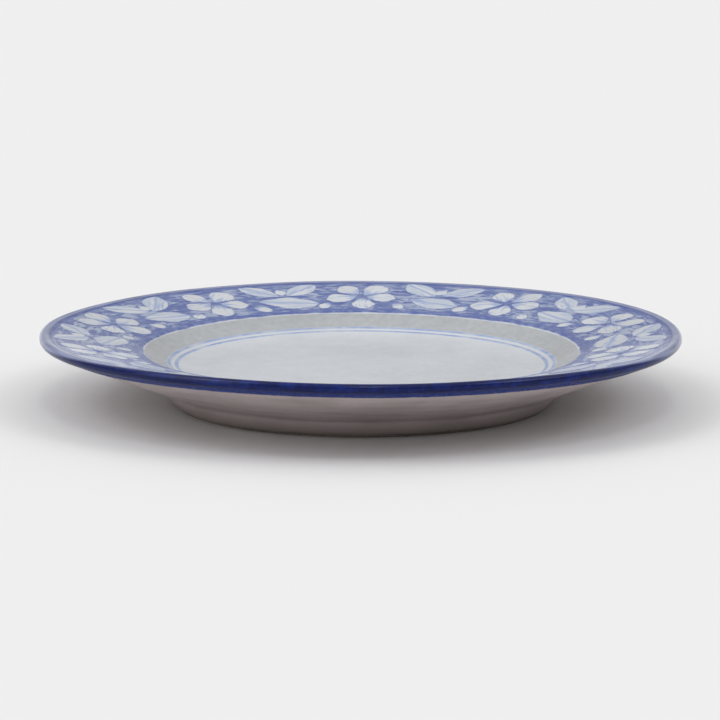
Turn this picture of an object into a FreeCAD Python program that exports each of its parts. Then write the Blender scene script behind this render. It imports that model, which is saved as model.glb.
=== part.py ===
"""Hand painted ceramic plate, in millimetres.

The plate stands on its foot at Z = 0 with its axis on +Z.  The clay is a thrown disc with a foot ring
luted under it.  A white glaze lies over the face and over the back, and the cobalt painting lies in thin
coats on top of that: a band around the lip, a ground with blossoms and leaves on the flange, a line at
the shoulder and two fine lines in the well.
"""
import math
import os

import FreeCAD, Part
import Sketcher
from FreeCAD import Placement, Rotation, Vector

DOCUMENT = FreeCAD.newDocument("plate")

# Driving dimensions.  Heights are above the table and radii are from the plate's axis.  Both are of the
# finished, glazed surface, as straight sides meeting at corners, before the corners are rounded.
DIMENSIONS = {
    "lip_radius": 107.5,
    "lip_edge_top": 24.7,
    "lip_edge_bottom": 22.05,
    "lip_rounding": 1.36,
    "floor_height": 12.0,
    "floor_corner_radius": 63.4,
    "cavetto_rounding": 36.0,
    "shoulder_radius": 74.0,
    "shoulder_height": 18.2,
    "shoulder_rounding": 8.0,
    "foot_top_height": 5.7,
    "foot_top_radius": 66.6,
    "foot_waist_radius": 65.6,
    "foot_waist_height": 2.4,
    "foot_waist_rounding": 9.0,
    "foot_rest_radius": 63.0,
    "foot_inner_radius": 57.0,
    "foot_root_radius": 55.0,
    "foot_edge_rounding": 0.6,
    "glaze_thickness": 0.4,
    "paint_thickness": 0.16,
    "motif_thickness": 0.16,
    "bare_foot_height": 1.1,
    "parting_radius": 60.0,
    "parting_height": 9.0,
    "lip_band_upper_radius": 103.9,
    "lip_band_lower_radius": 101.2,
    "border_inner_radius": 73.2,
    "border_line_width": 2.0,
    "outer_well_line_radius": 64.8,
    "inner_well_line_radius": 62.2,
    "well_line_width": 1.1,
    "motif_circle_radius": 89.7,
    "petal_start": 1.9,
    "petal_length": 11.0,
    "petal_width": 7.2,
    "blossom_centre_radius": 1.5,
    "leaf_length": 20.5,
    "leaf_width": 9.4,
    "bud_length": 5.2,
    "bud_width": 3.4,
}

# How far the corners move, for each millimetre of depth, to keep the sloping sides parallel.
LIP_TOP_SHIFT = 1.21
LIP_BOTTOM_SHIFT = 0.675
FOOT_ROOT_SHIFT = 2.67

BLOSSOM_COUNT = 10
PETALS_PER_BLOSSOM = 5
REPEAT_ANGLE = 360.0 / BLOSSOM_COUNT

# The leaves and buds of one repeat.  Each has its middle's place along the motif circle and outwards from
# it, the direction of its tip from the way along the circle, and its size against a full one.
LEAVES = (
    (20.8, 7.0, 40.0, 0.82),
    (28.2, -5.6, -12.0, 1.0),
    (35.6, 7.0, 140.0, 0.82),
)
BUDS = (
    (14.8, -9.4, 55.0, 1.0),
    (28.2, 6.0, 90.0, 1.0),
    (41.6, -9.8, 125.0, 1.0),
)

# Each motif is cut from a tall prism that passes right through the flange.
PRISM_BOTTOM = 10.0
PRISM_HEIGHT = 20.0


def driving_sheet():
    """Write the driving dimensions to a spreadsheet, one named cell each."""
    sheet = DOCUMENT.addObject("Spreadsheet::Sheet", "dimensions")
    for row, (name, value) in enumerate(DIMENSIONS.items(), start=1):
        sheet.set(f"A{row}", name)
        sheet.set(f"B{row}", str(value))
        sheet.setAlias(f"B{row}", name)
    DOCUMENT.recompute()
    return sheet


SHEET = driving_sheet()


def cell(name):
    """The expression that reads one driving dimension."""
    return f"dimensions.{name}"


def value_of(expression):
    """The number that an expression of driving dimensions comes to."""
    return float(SHEET.evalExpression(expression))


def size(name):
    """The value of one driving dimension."""
    return value_of(cell(name))


def section_sketch(body, name, corners):
    """Draw a closed outline of straight sides in the body's XZ plane.

    Each corner is a pair of expressions, its radius and its height, and is bound to the sheet by them.
    """
    plane = next(item for item in body.Origin.OriginFeatures if item.Role == "XZ_Plane")
    sketch = body.newObject("Sketcher::SketchObject", name)
    sketch.AttachmentSupport = [(plane, "")]
    sketch.MapMode = "FlatFace"
    points = [Vector(value_of(radius), value_of(height), 0) for radius, height in corners]
    count = len(points)
    for index, start in enumerate(points):
        sketch.addGeometry(Part.LineSegment(start, points[(index + 1) % count]), False)
    for index in range(count):
        sketch.addConstraint(Sketcher.Constraint("Coincident", index, 2, (index + 1) % count, 1))
    for index, (radius, height) in enumerate(corners):
        bind_corner(sketch, index, "DistanceX", -2, radius, points[index].x)
        bind_corner(sketch, index, "DistanceY", -1, height, points[index].y)
    return sketch


def bind_corner(sketch, index, kind, axis, expression, value):
    """Hold one coordinate of a corner to an expression, or to the sketch's own axis where it is zero."""
    if expression == "0":
        sketch.addConstraint(Sketcher.Constraint("PointOnObject", index, 1, axis))
        return
    number = sketch.addConstraint(Sketcher.Constraint(kind, -1, 1, index, 1, value))
    sketch.setExpression(f"Constraints[{number}]", expression)


def turned_body(name, corners):
    """A body turned about the plate's axis from an outline of corners."""
    body = DOCUMENT.addObject("PartDesign::Body", name)
    sketch = section_sketch(body, f"{name}_section", corners)
    DOCUMENT.recompute()
    turned = body.newObject("PartDesign::Revolution", f"{name}_turned")
    turned.Profile = sketch
    turned.ReferenceAxis = (sketch, ["V_Axis"])
    turned.Angle = 360
    DOCUMENT.recompute()
    return body


def rim_edge(shape, radius, height):
    """The name of the circular edge at this radius and height."""
    for number, edge in enumerate(shape.Edges, start=1):
        if not isinstance(edge.Curve, Part.Circle):
            continue
        same_radius = math.isclose(edge.Curve.Radius, radius, abs_tol=0.01)
        same_height = math.isclose(edge.Curve.Center.z, height, abs_tol=0.01)
        if same_radius and same_height:
            return f"Edge{number}"
    raise RuntimeError(f"no edge at radius {radius} and height {height}")


def round_corner(body, name, corner, rounding):
    """Round one turned corner of a body."""
    radius, height = (value_of(expression) for expression in corner)
    base = body.Tip
    fillet = body.newObject("PartDesign::Fillet", f"{body.Name}_{name}")
    fillet.Base = (base, [rim_edge(base.Shape, radius, height)])
    fillet.setExpression("Radius", rounding)
    DOCUMENT.recompute()


def plate_form(name, depth):
    """The turned form of the plate without its foot, lying `depth` under the finished surface.

    A negative depth stands proud of the finished surface.
    """
    floor_height = f"{cell('floor_height')} - ({depth})"
    root_height = cell("foot_top_height")
    lip_radius = f"{cell('lip_radius')} - ({depth})"
    floor = ("0", floor_height)
    floor_corner = (cell("floor_corner_radius"), floor_height)
    shoulder = (cell("shoulder_radius"), f"{cell('shoulder_height')} - ({depth})")
    lip_top = (lip_radius, f"{cell('lip_edge_top')} - ({depth}) * {LIP_TOP_SHIFT}")
    lip_bottom = (lip_radius, f"{cell('lip_edge_bottom')} + ({depth}) * {LIP_BOTTOM_SHIFT}")
    root = (f"{cell('foot_top_radius')} - ({depth}) * {FOOT_ROOT_SHIFT}", root_height)
    root_middle = ("0", root_height)
    body = turned_body(name, [floor, floor_corner, shoulder, lip_top, lip_bottom, root, root_middle])
    lip_rounding = f"{cell('lip_rounding')} - ({depth})"
    round_corner(body, "lip_upper", lip_top, lip_rounding)
    round_corner(body, "lip_lower", lip_bottom, lip_rounding)
    round_corner(body, "shoulder", shoulder, cell("shoulder_rounding"))
    round_corner(body, "cavetto", floor_corner, cell("cavetto_rounding"))
    return body


def foot_form(name, depth):
    """The turned form of the foot ring, with its walls lying `depth` under their finished surface."""
    rest_outer = (f"{cell('foot_rest_radius')} - ({depth})", "0")
    waist = (f"{cell('foot_waist_radius')} - ({depth})", cell("foot_waist_height"))
    top_outer = (f"{cell('foot_top_radius')} - ({depth})", cell("foot_top_height"))
    top_inner = (f"{cell('foot_root_radius')} + ({depth})", cell("foot_top_height"))
    rest_inner = (f"{cell('foot_inner_radius')} + ({depth})", "0")
    body = turned_body(name, [rest_outer, waist, top_outer, top_inner, rest_inner])
    round_corner(body, "waist", waist, cell("foot_waist_rounding"))
    return body


def parting_height(radius):
    """The expression for the height that divides face from back at a radius."""
    middle = f"({cell('lip_edge_top')} + {cell('lip_edge_bottom')}) / 2"
    rise = f"({middle} - {cell('parting_height')})"
    run = f"({cell('lip_radius')} - {cell('parting_radius')})"
    return f"{cell('parting_height')} + {rise} * ({radius} - {cell('parting_radius')}) / {run}"


ABOVE_LIP = f"{cell('lip_edge_top')} + 3"


def face_ring(name, inner, outer):
    """The space over the plate's face between two radii, given as expressions."""
    corners = [
        (inner, parting_height(inner)),
        (outer, parting_height(outer)),
        (outer, ABOVE_LIP),
        (inner, ABOVE_LIP),
    ]
    return turned_body(name, corners)


def face_disc(name):
    """The space over the plate's face inside the lip band."""
    outer = cell("lip_band_upper_radius")
    corners = [
        ("0", cell("parting_height")),
        (cell("parting_radius"), cell("parting_height")),
        (outer, parting_height(outer)),
        (outer, ABOVE_LIP),
        ("0", ABOVE_LIP),
    ]
    return turned_body(name, corners)


def back_ring(name):
    """The space under the plate from the bare edge of the foot out to the lip band."""
    inner = cell("parting_radius")
    outer = cell("lip_band_lower_radius")
    corners = [
        (inner, cell("bare_foot_height")),
        (outer, cell("bare_foot_height")),
        (outer, parting_height(outer)),
        (inner, cell("parting_height")),
    ]
    return turned_body(name, corners)


def lip_ring(name):
    """The space around the lip, reaching further in under the plate than over it."""
    upper = cell("lip_band_upper_radius")
    lower = cell("lip_band_lower_radius")
    outside = f"{cell('lip_radius')} + 3"
    below = f"{cell('lip_edge_bottom')} - 6"
    corners = [
        (upper, ABOVE_LIP),
        (upper, parting_height(upper)),
        (lower, parting_height(lower)),
        (lower, below),
        (outside, below),
        (outside, ABOVE_LIP),
    ]
    return turned_body(name, corners)


def cut(name, base, tool):
    """One solid less another."""
    result = DOCUMENT.addObject("Part::Cut", name)
    result.Base = base
    result.Tool = tool
    DOCUMENT.recompute()
    return result


def fuse(name, first, second):
    """Two solids made one."""
    result = DOCUMENT.addObject("Part::Fuse", name)
    result.Base = first
    result.Tool = second
    DOCUMENT.recompute()
    return result


def common(name, first, second):
    """What two solids share."""
    result = DOCUMENT.addObject("Part::Common", name)
    result.Base = first
    result.Tool = second
    DOCUMENT.recompute()
    return result


def clay_foot_ring():
    """The foot ring in bare clay, with both edges that meet the table softened."""
    body = foot_form("foot_ring", cell("glaze_thickness"))
    outer = (f"{cell('foot_rest_radius')} - {cell('glaze_thickness')}", "0")
    inner = (f"{cell('foot_inner_radius')} + {cell('glaze_thickness')}", "0")
    round_corner(body, "outer_edge", outer, cell("foot_edge_rounding"))
    round_corner(body, "inner_edge", inner, cell("foot_edge_rounding"))
    return body


def recess_glaze_coat():
    """The coat of glaze inside the foot: over the recess and down the foot's inner wall."""
    top = cell("foot_top_height")
    root = cell("foot_root_radius")
    glaze = cell("glaze_thickness")
    bare = cell("bare_foot_height")
    edge = f"{root} + ({cell('foot_inner_radius')} - {root}) * (1 - {bare} / {top})"
    corners = [
        ("0", top),
        (f"{root} + {glaze}", top),
        (f"{edge} + {glaze}", bare),
        (edge, bare),
        (root, f"{top} - {glaze}"),
        ("0", f"{top} - {glaze}"),
    ]
    return turned_body("recess_glaze", corners)


def paint_ring(name, coat, inner, outer):
    """One painted ring of a coat between two radii."""
    return common(name, coat, face_ring(f"{name}_space", inner, outer))


def well_line(middle):
    """The space of one fine painted line in the well, as its inner and outer radius."""
    half_width = f"{cell('well_line_width')} / 2"
    return f"{middle} - {half_width}", f"{middle} + {half_width}"


def petal_outline(length, width):
    """A petal drawn along +X from its narrow base at the origin to its round tip."""
    half_shape = ((0.28, 0.27), (0.64, 0.5), (0.91, 0.32))
    upper = [Vector(length * along, width * across, 0) for along, across in half_shape]
    lower = [Vector(point.x, -point.y, 0) for point in reversed(upper)]
    curve = Part.BSplineCurve()
    curve.interpolate([Vector(0, 0, 0)] + upper + [Vector(length, 0, 0)] + lower, PeriodicFlag=True)
    return Part.Wire(curve.toShape())


def leaf_outline(length, width):
    """A pointed leaf drawn along +X with its middle at the origin."""
    base = Vector(-length / 2, 0, 0)
    tip = Vector(length / 2, 0, 0)
    sides = [Part.Arc(base, Vector(0, side * width / 2, 0), tip).toShape() for side in (1, -1)]
    return Part.Wire(sides)


def disc_outline(radius):
    """A round dot about the origin."""
    return Part.Wire(Part.makeCircle(radius))


def prism(outline, start, turn, along, outward, repeat):
    """Raise an outline to a tall prism and put it in its place on the flange.

    The outline moves out by `start`, turns by `turn` degrees, then goes to its place along the motif
    circle and outwards from it, in the numbered repeat.
    """
    circle = size("motif_circle_radius")
    solid = Part.Face(outline).extrude(Vector(0, 0, PRISM_HEIGHT))
    solid.translate(Vector(start, 0, PRISM_BOTTOM))
    around = REPEAT_ANGLE * repeat + math.degrees(along / circle)
    on_circle = Placement(Vector(0, -circle - outward, 0), Rotation(Vector(0, 0, 1), turn))
    turned = Placement(Vector(0, 0, 0), Rotation(Vector(0, 0, 1), around))
    return solid.transformGeometry(turned.multiply(on_circle).toMatrix())


def hand_variation(number):
    """A small change in size from one painted motif to the next."""
    return 1.0 + 0.06 * math.sin(2.4 * number)


def blossom_turn(repeat):
    """How far each blossom is turned from the one before it, in degrees."""
    return 90.0 + 11.0 * math.sin(1.9 * repeat)


def motif_prisms(name, solids):
    """Hold the prisms of one kind of motif as one feature."""
    feature = DOCUMENT.addObject("Part::Feature", name)
    feature.Shape = Part.makeCompound(solids)
    return feature


def petal_prisms():
    """Five petals for each blossom."""
    solids = []
    for repeat in range(BLOSSOM_COUNT):
        for petal in range(PETALS_PER_BLOSSOM):
            scale = hand_variation(repeat * PETALS_PER_BLOSSOM + petal)
            outline = petal_outline(size("petal_length") * scale, size("petal_width") * scale)
            turn = blossom_turn(repeat) + petal * 360.0 / PETALS_PER_BLOSSOM
            solids.append(prism(outline, size("petal_start"), turn, 0.0, 0.0, repeat))
    return motif_prisms("petal_prisms", solids)


def centre_prisms():
    """The dot in the middle of each blossom."""
    outline = disc_outline(size("blossom_centre_radius"))
    solids = [prism(outline, 0.0, 0.0, 0.0, 0.0, repeat) for repeat in range(BLOSSOM_COUNT)]
    return motif_prisms("centre_prisms", solids)


def leaf_prisms():
    """The leaves between each blossom and the next."""
    solids = []
    for repeat in range(BLOSSOM_COUNT):
        for number, (along, outward, turn, scale) in enumerate(LEAVES):
            scale *= hand_variation(repeat + number)
            outline = leaf_outline(size("leaf_length") * scale, size("leaf_width") * scale)
            solids.append(prism(outline, 0.0, turn, along, outward, repeat))
    return motif_prisms("leaf_prisms", solids)


def bud_prisms():
    """The small buds that fill the ground around the leaves."""
    solids = []
    for repeat in range(BLOSSOM_COUNT):
        for along, outward, turn, scale in BUDS:
            outline = petal_outline(size("bud_length") * scale, size("bud_width") * scale)
            solids.append(prism(outline, -size("bud_length") / 2, turn, along, outward, repeat))
    return motif_prisms("bud_prisms", solids)


def build():
    """Build every sub-part and return the finished ones by node name."""
    glaze = cell("glaze_thickness")
    paint = cell("paint_thickness")
    motif = cell("motif_thickness")
    lip_band_upper = cell("lip_band_upper_radius")
    border_inner = cell("border_inner_radius")
    border_line_outer = f"{border_inner} + {cell('border_line_width')}"

    clay_body = plate_form("clay_body", glaze)
    foot_ring = clay_foot_ring()
    finished_plate = plate_form("finished_plate", "0")
    finished_foot = foot_form("finished_foot", "0")
    painted_plate = plate_form("painted_plate", f"0 - {paint}")
    raised_plate = plate_form("raised_plate", f"0 - {paint} - {motif}")

    glazed = fuse("glazed_form", finished_plate, finished_foot)
    clay = fuse("clay_form", clay_body, foot_ring)
    glaze_coat = cut("glaze_coat", glazed, clay)
    paint_coat = cut("paint_coat", painted_plate, finished_plate)
    raised_coat = cut("raised_coat", raised_plate, painted_plate)
    motif_coat = paint_ring("motif_coat", raised_coat, border_line_outer, lip_band_upper)

    outer_line = well_line(cell("outer_well_line_radius"))
    inner_line = well_line(cell("inner_well_line_radius"))
    return {
        "clay_body": clay_body,
        "foot_ring": foot_ring,
        "face_glaze": common("face_glaze", glaze_coat, face_disc("face_space")),
        "back_glaze": common("back_glaze", glaze_coat, back_ring("back_space")),
        "recess_glaze": recess_glaze_coat(),
        "lip_band": common("lip_band", glaze_coat, lip_ring("lip_space")),
        "border_ground": paint_ring("border_ground", paint_coat, border_line_outer, lip_band_upper),
        "border_line": paint_ring("border_line", paint_coat, border_inner, border_line_outer),
        "outer_well_line": paint_ring("outer_well_line", paint_coat, *outer_line),
        "inner_well_line": paint_ring("inner_well_line", paint_coat, *inner_line),
        "blossom_petals": common("blossom_petals", motif_coat, petal_prisms()),
        "blossom_centres": common("blossom_centres", motif_coat, centre_prisms()),
        "leaves": common("leaves", motif_coat, leaf_prisms()),
        "buds": common("buds", motif_coat, bud_prisms()),
    }


def check(nodes):
    """Stop if any feature failed or any finished solid is missing, open or invalid."""
    for item in DOCUMENT.Objects:
        if "Invalid" in item.State or "Error" in item.State:
            raise RuntimeError(f"{item.Name} did not recompute")
    for name, item in nodes.items():
        shape = item.Shape
        if shape.isNull() or not shape.isValid() or not shape.Solids:
            raise RuntimeError(f"{name} is not a valid solid")
        if not all(shell.isClosed() for shell in shape.Shells):
            raise RuntimeError(f"{name} is open")
        print(f"{name}: {len(shape.Solids)} solids, {shape.Volume:.1f} mm3")


def export(nodes):
    """Write each finished sub-part to its own file, named by its label."""
    os.makedirs("parts", exist_ok=True)
    for name, item in nodes.items():
        item.Label = name
        item.Shape.exportStep(f"parts/{name}.step")


def main():
    nodes = build()
    DOCUMENT.recompute()
    check(nodes)
    export(nodes)


main()
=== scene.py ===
"""Hand painted ceramic plate: the thrown clay, its glazes and its cobalt painting, in metres.

The plate stands on its foot at Z = 0 with its axis on +Z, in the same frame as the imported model.
"""
import math
import random

import bpy
from bpy.props import FloatProperty, FloatVectorProperty, IntProperty, PointerProperty
from mathutils import Matrix, Vector
from mathutils.kdtree import KDTree


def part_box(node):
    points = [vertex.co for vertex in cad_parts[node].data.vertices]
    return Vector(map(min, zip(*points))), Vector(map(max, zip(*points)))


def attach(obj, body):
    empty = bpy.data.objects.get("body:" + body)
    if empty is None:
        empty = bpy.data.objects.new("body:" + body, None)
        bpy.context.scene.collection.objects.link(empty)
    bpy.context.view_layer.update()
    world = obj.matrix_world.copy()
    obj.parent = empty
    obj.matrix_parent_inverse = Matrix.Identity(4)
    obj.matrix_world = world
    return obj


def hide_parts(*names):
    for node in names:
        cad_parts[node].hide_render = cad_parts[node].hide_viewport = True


bl_info = {
    "name": "Hand painted plate",
    "version": (1, 0, 0),
    "blender": (4, 5, 0),
    "location": "View3D > Sidebar > Plate",
    "description": "Builds a thrown and glazed plate with a cobalt painted border",
    "category": "Add Mesh",
}

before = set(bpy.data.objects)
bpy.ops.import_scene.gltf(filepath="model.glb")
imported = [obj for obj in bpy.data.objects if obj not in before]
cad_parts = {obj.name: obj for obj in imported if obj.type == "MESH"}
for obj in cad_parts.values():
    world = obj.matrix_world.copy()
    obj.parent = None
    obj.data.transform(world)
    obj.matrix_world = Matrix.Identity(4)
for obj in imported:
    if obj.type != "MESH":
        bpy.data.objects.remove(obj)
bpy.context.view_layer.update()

MM = 0.001
LIP_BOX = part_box("lip_band")
BORDER_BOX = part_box("border_ground")
BORDER_LINE_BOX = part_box("border_line")
OUTER_LINE_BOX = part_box("outer_well_line")
INNER_LINE_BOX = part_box("inner_well_line")


# ---------------------------------------------------------------- sizes and colours


class PlateSizes(bpy.types.PropertyGroup):
    """The finished plate's section, as straight sides that meet at corners before they are rounded."""

    lip_radius: FloatProperty(
        name="Lip radius", description="Outermost radius of the plate",
        default=LIP_BOX[1].x, unit="LENGTH",
    )
    lip_edge_top: FloatProperty(
        name="Lip edge top", description="Height where the flange would meet the plate's edge",
        default=24.7 * MM, unit="LENGTH",
    )
    lip_edge_bottom: FloatProperty(
        name="Lip edge bottom", description="Height where the underside would meet the plate's edge",
        default=22.05 * MM, unit="LENGTH",
    )
    lip_rounding: FloatProperty(
        name="Lip rounding", description="Radius of the rounded lip", default=1.36 * MM, unit="LENGTH",
    )
    floor_height: FloatProperty(
        name="Floor height", description="Height of the well's floor", default=12.0 * MM, unit="LENGTH",
    )
    floor_radius: FloatProperty(
        name="Floor radius", description="Radius where the floor would meet the cavetto",
        default=63.4 * MM, unit="LENGTH",
    )
    cavetto_rounding: FloatProperty(
        name="Cavetto rounding", description="Radius of the sweep from the floor to the shoulder",
        default=36.0 * MM, unit="LENGTH",
    )
    shoulder_radius: FloatProperty(
        name="Shoulder radius", description="Radius where the cavetto meets the flange",
        default=74.0 * MM, unit="LENGTH",
    )
    shoulder_height: FloatProperty(
        name="Shoulder height", description="Height where the cavetto meets the flange",
        default=18.2 * MM, unit="LENGTH",
    )
    shoulder_rounding: FloatProperty(
        name="Shoulder rounding", description="Radius of the shoulder's curve",
        default=8.0 * MM, unit="LENGTH",
    )
    foot_top_radius: FloatProperty(
        name="Foot top radius", description="Radius where the foot meets the underside",
        default=66.6 * MM, unit="LENGTH",
    )
    foot_top_height: FloatProperty(
        name="Foot top height", description="Height where the foot meets the underside",
        default=5.7 * MM, unit="LENGTH",
    )
    foot_waist_radius: FloatProperty(
        name="Foot waist radius", description="Radius of the foot where its wall turns in",
        default=65.6 * MM, unit="LENGTH",
    )
    foot_waist_height: FloatProperty(
        name="Foot waist height", description="Height at which the foot's wall turns in",
        default=2.4 * MM, unit="LENGTH",
    )
    foot_rest_radius: FloatProperty(
        name="Foot rest radius", description="Outer radius of the face that rests on the table",
        default=63.0 * MM, unit="LENGTH",
    )
    foot_inner_radius: FloatProperty(
        name="Foot inner radius", description="Inner radius of the face that rests on the table",
        default=57.0 * MM, unit="LENGTH",
    )
    foot_root_radius: FloatProperty(
        name="Foot root radius", description="Inner radius of the foot where it meets the recess",
        default=55.0 * MM, unit="LENGTH",
    )
    glaze_thickness: FloatProperty(
        name="Glaze thickness", description="Depth of the glaze over the clay",
        default=0.4 * MM, unit="LENGTH",
    )
    bare_foot: FloatProperty(
        name="Bare foot", description="Height of the unglazed clay at the bottom of the foot",
        default=1.1 * MM, unit="LENGTH",
    )
    lip_band_under: FloatProperty(
        name="Lip band under", description="Inner radius of the lip band on the underside",
        default=101.2 * MM, unit="LENGTH",
    )
    turns: IntProperty(
        name="Turning steps", description="Number of steps in one turn of the wheel", default=288,
    )


class BorderSizes(bpy.types.PropertyGroup):
    """The painted rings and the motifs of the border."""

    inner_radius: FloatProperty(
        name="Border inner radius", description="Inner radius of the border's closing line",
        default=BORDER_LINE_BOX[1].x - 2.0 * MM, unit="LENGTH",
    )
    line_outer_radius: FloatProperty(
        name="Border line outer radius", description="Outer radius of the border's closing line",
        default=BORDER_LINE_BOX[1].x, unit="LENGTH",
    )
    outer_radius: FloatProperty(
        name="Border outer radius", description="Radius where the border meets the lip band",
        default=BORDER_BOX[1].x, unit="LENGTH",
    )
    outer_well_line: FloatProperty(
        name="Outer well line", description="Outer radius of the outer line in the well",
        default=OUTER_LINE_BOX[1].x, unit="LENGTH",
    )
    inner_well_line: FloatProperty(
        name="Inner well line", description="Outer radius of the inner line in the well",
        default=INNER_LINE_BOX[1].x, unit="LENGTH",
    )
    well_line_width: FloatProperty(
        name="Well line width", description="Width of each line in the well",
        default=1.1 * MM, unit="LENGTH",
    )
    paint_thickness: FloatProperty(
        name="Paint thickness", description="Depth of a painted coat",
        default=0.16 * MM, unit="LENGTH",
    )
    circle_radius: FloatProperty(
        name="Motif circle", description="Radius of the circle that the blossoms lie on",
        default=89.7 * MM, unit="LENGTH",
    )
    blossom_count: IntProperty(name="Blossoms", description="Blossoms around the border", default=10)
    petal_count: IntProperty(name="Petals", description="Petals in each blossom", default=5)
    petal_start: FloatProperty(
        name="Petal start", description="Distance of each petal from its blossom's middle",
        default=1.9 * MM, unit="LENGTH",
    )
    petal_length: FloatProperty(
        name="Petal length", description="Length of a petal", default=11.0 * MM, unit="LENGTH",
    )
    petal_width: FloatProperty(
        name="Petal width", description="Width of a petal", default=7.2 * MM, unit="LENGTH",
    )
    centre_radius: FloatProperty(
        name="Centre radius", description="Radius of a blossom's middle", default=1.5 * MM, unit="LENGTH",
    )
    leaf_length: FloatProperty(
        name="Leaf length", description="Length of a leaf", default=20.5 * MM, unit="LENGTH",
    )
    leaf_width: FloatProperty(
        name="Leaf width", description="Width of a leaf", default=9.4 * MM, unit="LENGTH",
    )
    bud_length: FloatProperty(
        name="Bud length", description="Length of a bud", default=5.2 * MM, unit="LENGTH",
    )
    bud_width: FloatProperty(
        name="Bud width", description="Width of a bud", default=3.4 * MM, unit="LENGTH",
    )
    outline_width: FloatProperty(
        name="Outline width", description="Width of the cobalt drawn around each motif",
        default=0.72 * MM, unit="LENGTH",
    )


def colour_property(name, description, default):
    """A colour that a user would change."""
    return FloatVectorProperty(
        name=name, description=description, default=default, size=4, subtype="COLOR", min=0.0, max=1.0,
    )


class PlateColours(bpy.types.PropertyGroup):
    """The colours of the clay, the glazes and the paints."""

    white: colour_property("White glaze", "Glaze over the face", (0.56, 0.585, 0.62, 1.0))
    white_shade: colour_property("White glaze shade", "Glaze where it pools", (0.46, 0.48, 0.50, 1.0))
    # This grey is partly glaze run together in the cavetto and partly painted shade there.
    grey: colour_property("Grey glaze", "Glaze run together in the cavetto", (0.29, 0.30, 0.31, 1.0))
    back: colour_property("Back glaze", "Glaze over the underside", (0.53, 0.455, 0.455, 1.0))
    # Besides the thin glaze streaks, this colour is also painted low on the foot as shade.
    back_shade: colour_property("Back glaze shade", "Glaze where it is thin", (0.235, 0.198, 0.192, 1.0))
    clay: colour_property("Clay", "Fired clay left bare", (0.27, 0.235, 0.205, 1.0))
    band: colour_property("Lip band", "Cobalt where it lies thick", (0.0015, 0.006, 0.062, 1.0))
    band_light: colour_property("Lip band light", "Cobalt where it lies thin", (0.005, 0.021, 0.17, 1.0))
    # This pale colour also serves as the painted reflection over the edge towards the plate's back.
    band_thin: colour_property("Lip band thin", "Cobalt thin over the edge", (0.36, 0.40, 0.58, 1.0))
    ground_dark: colour_property("Ground dark", "Border ground, thick", (0.045, 0.08, 0.29, 1.0))
    ground: colour_property("Ground", "Border ground, brushed", (0.125, 0.175, 0.37, 1.0))
    ground_light: colour_property("Ground light", "Border ground, thin", (0.34, 0.39, 0.51, 1.0))
    line: colour_property("Fine lines", "The two lines in the well", (0.23, 0.31, 0.54, 1.0))
    leaf: colour_property("Leaf", "Pale blue of the leaves", (0.42, 0.47, 0.56, 1.0))
    leaf_dark: colour_property("Leaf strokes", "Darker strokes on the leaves", (0.19, 0.27, 0.52, 1.0))


# ---------------------------------------------------------------- lines that are turned into pieces


ARC_STEP = math.radians(6.0)
LONGEST_STEP = 2.4 * MM
FINE_STEP = 0.6 * MM
BAND_BLEND = 1.3 * MM


def at(radius, height):
    """A place in the section's plane."""
    return Vector((radius, 0.0, height))


def rounded_line(corners):
    """The line through corners of (radius, height, rounding), with a true arc at each rounded one."""
    places = [at(radius, height) for radius, height, _ in corners]
    points = [places[0]]
    for before, place, after, corner in zip(places, places[1:], places[2:], corners[1:]):
        rounding = corner[2]
        if not rounding:
            points.append(place)
            continue
        to_before = (before - place).normalized()
        to_after = (after - place).normalized()
        half = to_before.angle(to_after) / 2
        centre = place + (to_before + to_after).normalized() * rounding / math.sin(half)
        start = (place + to_before * rounding / math.tan(half) - centre).normalized()
        end = (place + to_after * rounding / math.tan(half) - centre).normalized()
        steps = max(4, math.ceil((math.pi - 2 * half) / ARC_STEP))
        points += [centre + start.slerp(end, step / steps) * rounding for step in range(steps + 1)]
    points.append(places[-1])
    return points


def divided_line(points, longest=LONGEST_STEP):
    """The same line with its long stretches divided."""
    result = [points[0]]
    for start, end in zip(points, points[1:]):
        count = max(1, math.ceil((end - start).length / longest))
        result += [start.lerp(end, step / count) for step in range(1, count + 1)]
    return result


def clipped_line(points, inside):
    """The stretch of a line where inside(point) isn't negative, ended exactly where that changes."""
    result = []
    for start, end in zip(points, points[1:]):
        here, there = inside(start), inside(end)
        if here >= 0:
            result.append(start)
        if (here < 0) != (there < 0):
            result.append(start.lerp(end, here / (here - there)))
    if inside(points[-1]) >= 0:
        result.append(points[-1])
    return result


# How far the corners move, for each unit of depth, to keep the sloping sides parallel.
LIP_TOP_SHIFT = 1.21
LIP_BOTTOM_SHIFT = 0.675
FOOT_ROOT_SHIFT = 2.67


def face_corners(sizes, depth):
    """The corners of the plate's face from its middle to its edge, lying `depth` under the surface."""
    return [
        (0.0, sizes.floor_height - depth, 0.0),
        (sizes.floor_radius, sizes.floor_height - depth, sizes.cavetto_rounding),
        (sizes.shoulder_radius, sizes.shoulder_height - depth, sizes.shoulder_rounding),
        (sizes.lip_radius - depth, sizes.lip_edge_top - depth * LIP_TOP_SHIFT, sizes.lip_rounding - depth),
    ]


def back_corners(sizes, depth):
    """The corners from the plate's edge down to where its underside meets the foot."""
    edge = (
        sizes.lip_radius - depth,
        sizes.lip_edge_bottom + depth * LIP_BOTTOM_SHIFT,
        sizes.lip_rounding - depth,
    )
    return [edge, (sizes.foot_top_radius - depth * FOOT_ROOT_SHIFT, sizes.foot_top_height, 0.0)]


COVE_ROUNDING = 1.9 * MM
FOOT_WAIST_ROUNDING = 9.0 * MM
FOOT_EDGE_ROUNDING = 0.6 * MM
RECESS_ROUNDING = 1.5 * MM


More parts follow.
